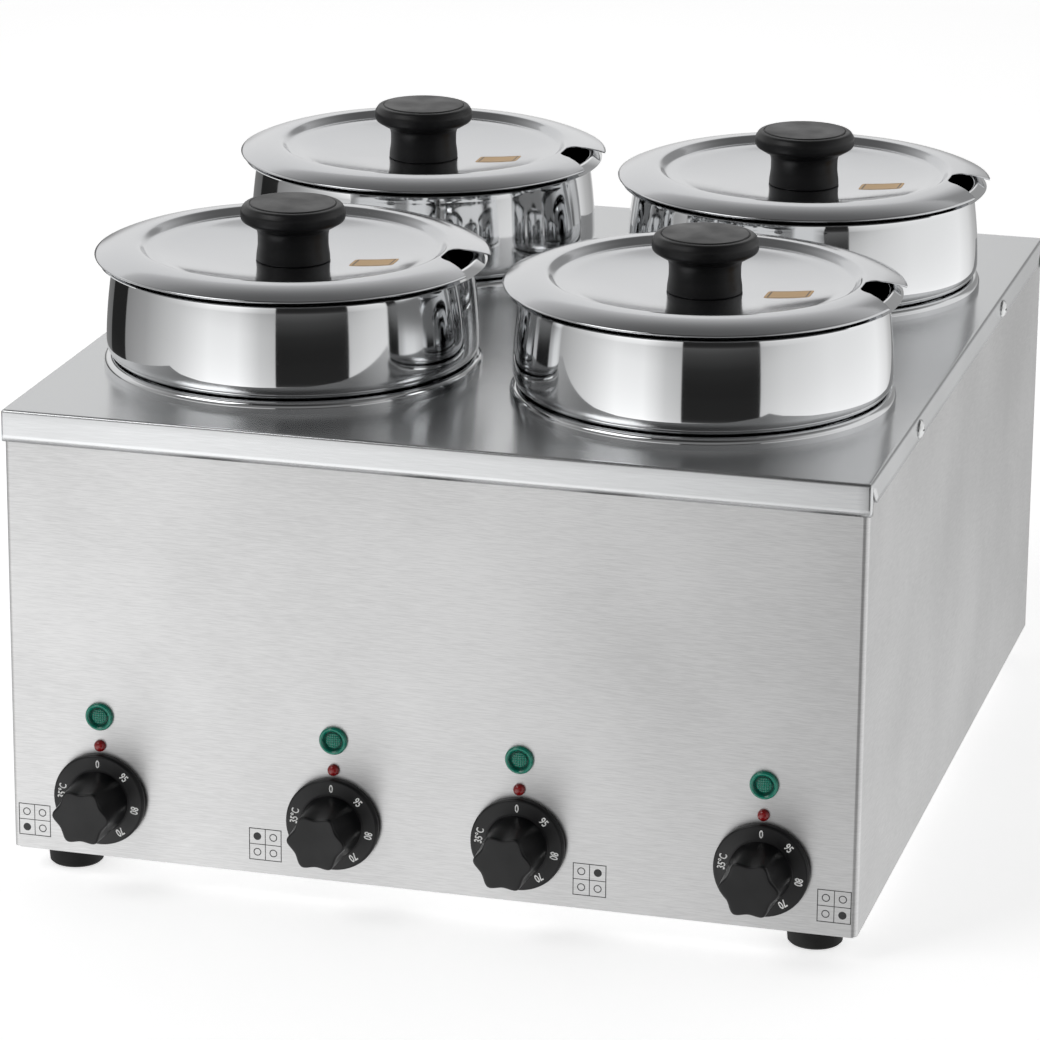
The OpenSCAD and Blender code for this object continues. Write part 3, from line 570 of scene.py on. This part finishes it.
foil, tree, skin = shader("gold_foil_label", "#C8A063", 0.36, 0.75)
edge = node(tree, "ShaderNodeAttribute", attribute_name="share")
line = node(tree, "ShaderNodeValToRGB", {"Fac": edge.outputs["Fac"]})
line.color_ramp.interpolation = "CONSTANT"
line.color_ramp.elements[0].color = linear("#C8A063")
for place_at, code in ((0.80, "#5E4326"), (0.87, "#C8A063")):
    line.color_ramp.elements.new(place_at).color = linear(code)
line.color_ramp.elements[-1].color = linear("#C8A063")
place = node(tree, "ShaderNodeTexCoord")
crinkle = node(tree, "ShaderNodeTexNoise", {"Vector": place.outputs["Object"], "Scale": 500.0, "Detail": 2.0})
bump = node(tree, "ShaderNodeBump", {"Height": crinkle.outputs["Fac"], "Strength": 0.3, "Distance": 0.00003})
tree.links.new(line.outputs["Color"], skin.inputs["Base Color"])
tree.links.new(bump.outputs["Normal"], skin.inputs["Normal"])
label_at, label_x, label_y, squareness = 44.0, 12.0, 7.0, 0.22
w = np.arange(96) * 2 * pi / 96
corner_x, corner_y = [np.sign(f) * np.abs(f) ** squareness for f in (np.cos(w), np.sin(w))]
share = np.array([0, 0.2, 0.4, 0.6, 0.78, 0.80, 0.87, 0.89, 0.97, 1.0, 1.0])[:, None]
x, y = label_at + label_x * corner_x * share, label_y * corner_y * share
height = lid_height(np.hypot(x, y)) + np.array([0.1] * 9 + [0.08, 0.01])[:, None]
label_points = np.stack([x, y, height], -1) * mm
for s in stations:
    cx, cy, _ = pot_centre[s]
    label = grid_mesh("lid_label_" + s, label_points + [cx, cy, lid_z], quads(11, 96, False, True), 40)
    spread = np.array([v.co for v in label.data.vertices]) - [cx + label_at * mm, cy, 0]
    near = np.maximum(np.abs(spread[:, 0]) / label_x, np.abs(spread[:, 1]) / label_y) / mm
    label.data.attributes.new("share", "FLOAT", "POINT").data.foreach_set("value", near)
    label.data.materials.append(foil)
    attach(label, "lid_" + s)


# ---- Dials -------------------------------------------------------------------
# Moulded black dials, pushed onto the thermostats' spindles: a thin skirt, and a grip with six wide
# finger flutes that fade towards its foot. White degrees are pad-printed on the skirt.

panel_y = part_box("casing_wrap")[0].y
dial_axis = {}
for s in stations:
    low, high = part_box("dial_" + s)
    dial_axis[s] = ((low.x + high.x) / 2, panel_y, (low.z + high.z) / 2)
w = np.arange(180) * 2 * pi / 180
skirt_out, grip_h, face_at, face_round = 5.0, 27.0, 0.95, 1.35


def grip_radius(h):
    """Radius of the grip at share h of its height: a slight cone less six flutes, each a soft arch that
    deepens with height, with one flute at the top."""
    arch = (np.sqrt(np.cos(3 * (w - pi / 2)) ** 2 + 0.2) - 0.447) / 0.648
    return 16.3 - 0.8 * h - 2.7 * h ** 0.7 * arch


# Lines of radius and depth: the hidden back with its spindle's bore and hub, then the skirt's rim and face
back = np.array([[0, 19.0], [3.05, 19.0], [3.05, 0.8], [5.5, 0.8], [5.5, 3.6], [22.7, 3.6], [22.7, 0.8],
                 [24.4, 0.8]])
skirt = np.array([[24.5, 1.0], [24.5, 3.8], [24.3, 4.5], [23.8, 4.9], [23.2, 5.0], [17.4, 5.0], [16.8, 5.2]])
rows = [np.full(180, r) for r, _ in back] + [np.full(180, r) for r, _ in skirt]
depth = list(back[:, 1]) + list(skirt[:, 1])
for h in np.linspace(0.02, face_at, 16):
    rows.append(grip_radius(h))
    depth.append(skirt_out + grip_h * h)
face_edge = grip_radius(face_at)
for a in np.radians([20, 40, 60, 80, 90]):
    rows.append(face_edge - face_round * (1 - cos(a)))
    depth.append(skirt_out + grip_h * face_at + 1.2 * sin(a))
for k in (0.85, 0.6, 0.3, 0.0):
    rows.append((face_edge - face_round) * k)
    depth.append(skirt_out + grip_h - 0.15 * k)
dial_r = np.array(rows) * mm
dial_out = np.array(depth)[:, None] * mm + 0 * dial_r
dial_plastic = moulded_black("black_moulded_dial", "#0A0A0C", 0.34, 0.00003)
for s in stations:
    points = placed(dial_r * np.cos(w), dial_r * np.sin(w), dial_out, dial_axis[s], "front")
    dial = grid_mesh("dial_" + s + "_grip", points, quads(len(rows), 180, False, True), 40)
    dial.data.materials.append(dial_plastic)
    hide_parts("dial_" + s)
    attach(dial, "dial_" + s)


def lettering(text, height, squeeze):
    """Points and faces of a printed number, centred, of a given height, with its width squeezed."""
    words = bpy.data.curves.new("words", "FONT")
    words.body = text
    words.resolution_u = 4
    words.extrude = 0.01
    words.offset = 0.022
    holder = bpy.data.objects.new("words", words)
    shape = holder.to_mesh()
    points = np.array([v.co for v in shape.vertices])
    faces = [tuple(face.vertices) for face in shape.polygons]
    holder.to_mesh_clear()
    bpy.data.objects.remove(holder)
    bpy.data.curves.remove(words)
    low, high = points.min(0), points.max(0)
    points = (points - (low + high) / 2) / (high[1] - low[1]) * height
    return points * [squeeze, 1, 1], faces


print_white, tree, skin = shader("white_pad_print", "#F4F4F2", 0.6)
place = node(tree, "ShaderNodeTexCoord")
wear = node(tree, "ShaderNodeTexNoise", {"Vector": place.outputs["Object"], "Scale": 900.0, "Detail": 2.0})
tone = node(tree, "ShaderNodeMix", {"Factor": wear.outputs["Fac"], "A": linear("#F2F2EF"),
                                    "B": linear("#FFFFFF")},
            data_type="RGBA")
tree.links.new(tone.outputs["Result"], skin.inputs["Base Color"])
# The degrees, each with its angle clockwise from the top
degrees = [("0", 0), ("95", 45), ("80", 100), ("70", 144), ("60", 182), ("50", 228), ("35\u00b0C", 280)]
print_r, print_h, print_t = 20.0 * mm, 4.3 * mm, 0.03 * mm
print_points, print_faces = [], []
for text, angle in degrees:
    points, faces = lettering(text, print_h, 0.72)
    a = radians(angle)
    x = points[:, 0] * cos(a) + (points[:, 1] + print_r) * sin(a)
    z = -points[:, 0] * sin(a) + (points[:, 1] + print_r) * cos(a)
    count = sum(len(part) for part in print_points)
    print_points.append(np.stack([x, z, 5.01 * mm + (points[:, 2] > 0) * print_t], -1))
    print_faces += [tuple(k + count for k in face) for face in faces]
print_points = np.concatenate(print_points)
for s in stations:
    mesh = bpy.data.meshes.new("dial_" + s + "_degrees")
    at = placed(print_points[:, 0], print_points[:, 1], print_points[:, 2], dial_axis[s], "front")
    mesh.from_pydata(at.tolist(), [], print_faces)
    numbers = bpy.data.objects.new("dial_" + s + "_degrees", mesh)
    bpy.context.scene.collection.objects.link(numbers)
    mesh.materials.append(print_white)
    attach(numbers, "dial_" + s)


# ---- Signal lamps ------------------------------------------------------------
# Translucent polycarbonate lamps snapped into the panel: a green one with a raised ring round a sunk
# waffle lens, and a small red dome over each dial. Light and shade are painted into their colour.

def lens_plastic(name, shade_colour, colour, highlight_colour):
    """Tinted glossy polycarbonate, whose colour carries painted light from a value on each point: painted
    shade where it is low, its own tint in the middle, painted highlight where it is high."""
    mat, tree, skin = shader(name, colour, 0.14, IOR=1.5, Transmission_Weight=0.1, Coat_Weight=0.2)
    painted_light_at = node(tree, "ShaderNodeAttribute", attribute_name="painted_lamp_light")
    tint = node(tree, "ShaderNodeValToRGB", {"Fac": painted_light_at.outputs["Fac"]})
    tint.color_ramp.elements[0].color, tint.color_ramp.elements[-1].color = linear(shade_colour), linear(highlight_colour)
    tint.color_ramp.elements.new(0.5).color = linear(colour)
    tree.links.new(tint.outputs["Color"], skin.inputs["Base Color"])
    return mat


# Each lens's colours: the painted shade, its own tint, and the painted highlight
green_lens = lens_plastic("green_lamp_polycarbonate", "#012F28", "#00806A", "#30BFA0")
red_lens = lens_plastic("red_lamp_polycarbonate", "#4A0508", "#8E1216", "#C03A36")
w = np.arange(96) * 2 * pi / 96
lens_r = np.linspace(4.2, 0, 26)
green_line = np.array([[0, -22], [5.2, -22], [5.2, -0.1], [7.3, -0.1], [7.4, 0.1], [7.4, 1.3], [7.1, 2.1],
                       [6.6, 2.55], [6.1, 2.6], [5.6, 2.3], [5.1, 1.6], [4.7, 0.9], [4.45, 0.6]])
green_r = np.concatenate([green_line[:, 0], lens_r])[:, None] + 0 * w


def waffle(x, z):
    """Height, from 0 to 1, of a field of small pyramids 1.15 mm apart, within 4 mm of the lamp's axis."""
    return np.abs(x / 1.15 % 1 - 0.5) * np.abs(z / 1.15 % 1 - 0.5) * 4 * (np.hypot(x, z) < 4.0)


# Painted light of the green lamp by radius: its lens, painted shade in the sunk ring, and a painted highlight
# on the raised ring's crest with painted shade at its edges
ring_painted_light = np.array([[3.9, 0.3], [4.2, 0.12], [5.2, 0.12], [5.6, 0.4], [6.2, 0.6], [7.0, 0.5], [7.4, 0.35]])
green_x, green_z = green_r * np.cos(w), green_r * np.sin(w)
green_out = np.concatenate([green_line[:, 1], 0.7 + 0.7 * (1 - (lens_r / 4.2) ** 2)])[:, None] + 0 * w
green_out[len(green_line):] += 0.35 * waffle(green_x, green_z)[len(green_line):]
dome = np.radians(np.linspace(0, 90, 12))
red_line = np.concatenate([[[0, -14], [2.5, -14], [2.5, -0.1], [3.0, -0.1], [3.1, 0.1]],
                           np.stack([3.1 * np.cos(dome) ** 0.8, 0.5 + 2.9 * np.sin(dome)], -1)]) * mm
for s in stations:
    for colour in ("green", "red"):
        low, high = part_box(colour + "_lamp_" + s)
        centre = ((low.x + high.x) / 2, panel_y, (low.z + high.z) / 2)
        name = colour + "_lamp_" + s + "_lens"
        if colour == "green":
            points = placed(green_x * mm, green_z * mm, green_out * mm, centre, "front")
            lamp = grid_mesh(name, points, quads(len(green_r), 96, False, True), 30)
        else:
            lamp = turned(name, red_line, centre, 64, False, 50, "front")
        x, y, z = (np.array([v.co for v in lamp.data.vertices]) - centre).T / mm
        if colour == "green":
            ring = np.interp(np.hypot(x, z), *ring_painted_light.T)
            # Painted highlights on the waffle's peaks, added over the ring's painted light
            lamp_painted_light = ring + 0.55 * waffle(x, z)
        else:
            # The red dome's painted highlight: its colour is lighter towards its top
            lamp_painted_light = 0.25 + 0.3 * np.clip(-y / 3.4, 0, 1)
        lamp.data.attributes.new("painted_lamp_light", "FLOAT", "POINT").data.foreach_set("value", lamp_painted_light)
        lamp.data.materials.append(green_lens if colour == "green" else red_lens)
        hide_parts(colour + "_lamp_" + s)
        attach(lamp, "casing")


# ---- Plan marks --------------------------------------------------------------
# A small square plan of the four pots, screen-printed in dark grey beside each dial, with that
# dial's own pot filled in.

ink, tree, skin = shader("dark_screen_print", "#2A2B2C", 0.5)
place = node(tree, "ShaderNodeTexCoord")
grain = node(tree, "ShaderNodeTexNoise", {"Vector": place.outputs["Object"], "Scale": 1200.0, "Detail": 2.0})
tone = node(tree, "ShaderNodeMix", {"Factor": grain.outputs["Fac"], "A": linear("#1E1F20"),
                                    "B": linear("#3A3B3C")},
            data_type="RGBA")
tree.links.new(tone.outputs["Result"], skin.inputs["Base Color"])


mark_half, mark_line, ring_at, ring_r = 8.75, 0.45, 4.3, 2.1


def square_ring(outer, inner):
    """Corner loops of a square frame, as two rows of a grid."""
    loop = np.array([[-1, -1], [1, -1], [1, 1], [-1, 1]], float)
    return np.array([loop * inner, loop * outer])


def round_ring(outer, inner, x, z):
    """Rows of a flat ring round a point."""
    turn = np.arange(32) * pi / 16
    loop = np.stack([np.cos(turn), np.sin(turn)], -1)
    return np.array([loop * inner, loop * outer]) + [x, z]


filled = {"fl": (-1, -1), "bl": (-1, 1), "br": (1, 1), "fr": (1, -1)}
for s in stations:
    e, f = mark_half - mark_line, 0.2
    patches = [square_ring(mark_half, e), np.array([[[-e, -f], [e, -f]], [[-e, f], [e, f]]]),
               np.array([[[f, f], [f, e]], [[-f, f], [-f, e]]]),
               np.array([[[f, -e], [f, -f]], [[-f, -e], [-f, -f]]])]
    for side in ((-1, -1), (1, -1), (1, 1), (-1, 1)):
        hole = 0.0 if side == filled[s] else 1.6
        patches.append(round_ring(ring_r, hole, ring_at * side[0], ring_at * side[1]))
    x0, _, z0 = dial_axis[s]
    x0 += 37 * mm * (-1 if s in ("fl", "bl") else 1)
    z0 -= 16.5 * mm
    start, corners, faces = 0, [], []
    for patch in patches:
        faces.append(quads(*patch.shape[:2], False, patch.shape[1] > 2) + start)
        corners.append(patch.reshape(-1, 2))
        start += len(corners[-1])
    flat = np.concatenate(corners) * mm
    points = placed(flat[:, 0], flat[:, 1], np.full(len(flat), 0.03 * mm), (x0, panel_y, z0), "front")
    mark = grid_mesh("plan_mark_" + s, points, np.concatenate(faces))
    for face in mark.data.polygons:
        if face.normal.y > 0:
            face.flip()
    mark.data.materials.append(ink)
    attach(mark, "casing")


# ---- Casing screws -----------------------------------------------------------
# Bright stainless pan head screws with a cross recess: four hold the deck's side flanges and four
# the rear panel.

screw_steel = polished_steel("bright_stainless_screw", "#D5D6D6", 0.16, 0.00004)
r = np.concatenate([[0.0, 2.45, 2.45, 4.9, 5.0], np.linspace(5.0, 0, 30)])[:, None]
w = np.arange(96) * 2 * pi / 96
head = 2.6 * np.sqrt(np.clip(1 - (r / 5.08) ** 2, 0, 1))
x, y = np.abs(r * np.cos(w)), np.abs(r * np.sin(w))
reach = np.maximum(x, y)
arm = np.minimum(x, y) - 0.5 * (1 - reach / 3.4)
recess = 1.3 * np.clip(1 - np.maximum(arm, 0) / 0.25, 0, 1) * (reach < 2.6) * (1 - reach / 4)
screw_out = head - recess
# The first five rows are the shank's end and side, and the flat under the head
screw_out[:5] = np.array([-9.0, -9.0, 0.0, 0.0, 0.1])[:, None]
panel_low, panel_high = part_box("rear_panel")
screw_z = deck_z - 6.4 * mm
screw_places = [("right" if side > 0 else "left", (side * half_w, front_y + along * mm, screw_z))
                for side in (-1, 1) for along in (122.6, 366.2)]
screw_places += [("back", (side * (panel_high.x - 7 * mm), panel_high.y, z))
                 for side in (-1, 1) for z in (panel_low.z + 30 * mm, deck_z - lip_h - 20 * mm)]
parts = [placed(r * np.cos(w) * mm, r * np.sin(w) * mm, screw_out * mm, place, facing)
         for facing, place in screw_places]
net = quads(len(r), 96, False, True)
faces = np.concatenate([net + k * len(r) * 96 for k in range(len(parts))])
screws = grid_mesh("casing_screws_heads", np.concatenate([part.reshape(-1, 3) for part in parts]), faces, 45)
screws.data.materials.append(screw_steel)
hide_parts("casing_screws")
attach(screws, "casing")


# ---- Feet and cable gland ----------------------------------------------------
# Soft black rubber feet, matt with a fine moulded grain, and a glass-filled nylon gland at the back.

rubber = moulded_black("black_rubber_foot", "#0E0E0E", 0.72, 0.00008)
for s in ("fl", "fr", "bl", "br"):
    dress("foot_" + s, rubber)
nylon = moulded_black("black_nylon_gland", "#17181A", 0.5, 0.00005)
for name in ("cable_gland", "gland_nut"):
    dress(name, nylon)


# ---- Inner parts -------------------------------------------------------------
# Behind the panels: zinc-plated fixings, turned steel spindles, mica-faced heaters, thermostats in
# cream thermoset, and a white nylon terminal block.

def plain_finish(name, light, dark, roughness, metallic, grain_mm, depth):
    """Cast or plated surface: two close tones in patches, with a bump of the same grain."""
    mat, tree, skin = shader(name, light, roughness, metallic)
    place = node(tree, "ShaderNodeTexCoord")
    patch = node(tree, "ShaderNodeTexNoise", {"Vector": place.outputs["Object"], "Scale": 1000 / grain_mm,
                                              "Detail": 3.0})
    tint = node(tree, "ShaderNodeMix", {"Factor": patch.outputs["Fac"], "A": linear(dark), "B": linear(light)},
                data_type="RGBA")
    bump = node(tree, "ShaderNodeBump", {"Height": patch.outputs["Fac"], "Strength": 0.5, "Distance": depth})
    tree.links.new(tint.outputs["Result"], skin.inputs["Base Color"])
    tree.links.new(bump.outputs["Normal"], skin.inputs["Normal"])
    return mat


zinc = plain_finish("zinc_plated_steel", "#C9CACB", "#9A9C9E", 0.35, 1.0, 4.0, 0.00002)
for name in ("foot_screws", "foot_nuts", "thermostat_screws", "heater_nuts"):
    dress(name, zinc)
turned_steel = plain_finish("turned_steel_spindle", "#B9BABB", "#8F9092", 0.3, 1.0, 0.8, 0.00001)
mica = plain_finish("mica_faced_heater", "#A08A63", "#7C6A49", 0.45, 0.1, 6.0, 0.00004)
thermoset = plain_finish("cream_thermoset_body", "#C9C5B2", "#B4AF9A", 0.5, 0.0, 1.5, 0.00003)
white_nylon = plain_finish("white_nylon_block", "#E4E2DA", "#D6D3C9", 0.45, 0.0, 2.0, 0.00003)
dress("terminal_block", white_nylon)
for s in stations:
    dress("heater_" + s, mica)
    dress("thermostat_" + s, thermoset)
    dress("spindle_" + s, turned_steel)
    dress("lid_screw_" + s, zinc)
